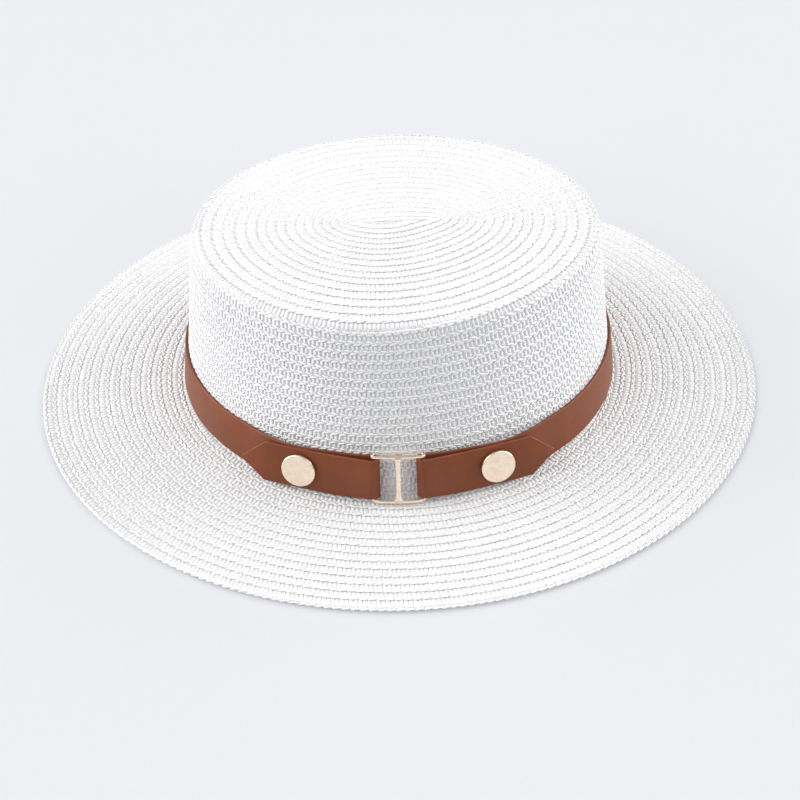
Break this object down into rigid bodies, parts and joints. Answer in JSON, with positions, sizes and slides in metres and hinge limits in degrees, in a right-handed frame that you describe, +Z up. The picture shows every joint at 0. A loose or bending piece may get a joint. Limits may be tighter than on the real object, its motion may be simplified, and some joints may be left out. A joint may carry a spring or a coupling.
{
  "type": "straw boater hat",
  "caption": "Straw boater: stiff hollow oval crown with a nearly flat top, a wide gently sloping brim, and a leather band folded back through a metal slide and held by round studs.",
  "frame": {"origin": "centre of the brim on the surface the hat rests on", "axes": "+Z up through the crown, +X along the long axis of the oval, -Y towards the slide at the front"},
  "size_m": [0.33, 0.3034, 0.0872],
  "materials": {
    "straw": "bleached straw braid sewn row on row, matt",
    "leather": "saddle leather, satin, raw cut edges",
    "gold_plate": "pale rose gold plate, softly polished"
  },
  "bodies": {
    "root": {"crown": "straw", "brim": "straw", "band": "leather", "buckle": "gold_plate", "stud_left": "gold_plate", "stud_right": "gold_plate"}
  },
  "joints": []
}
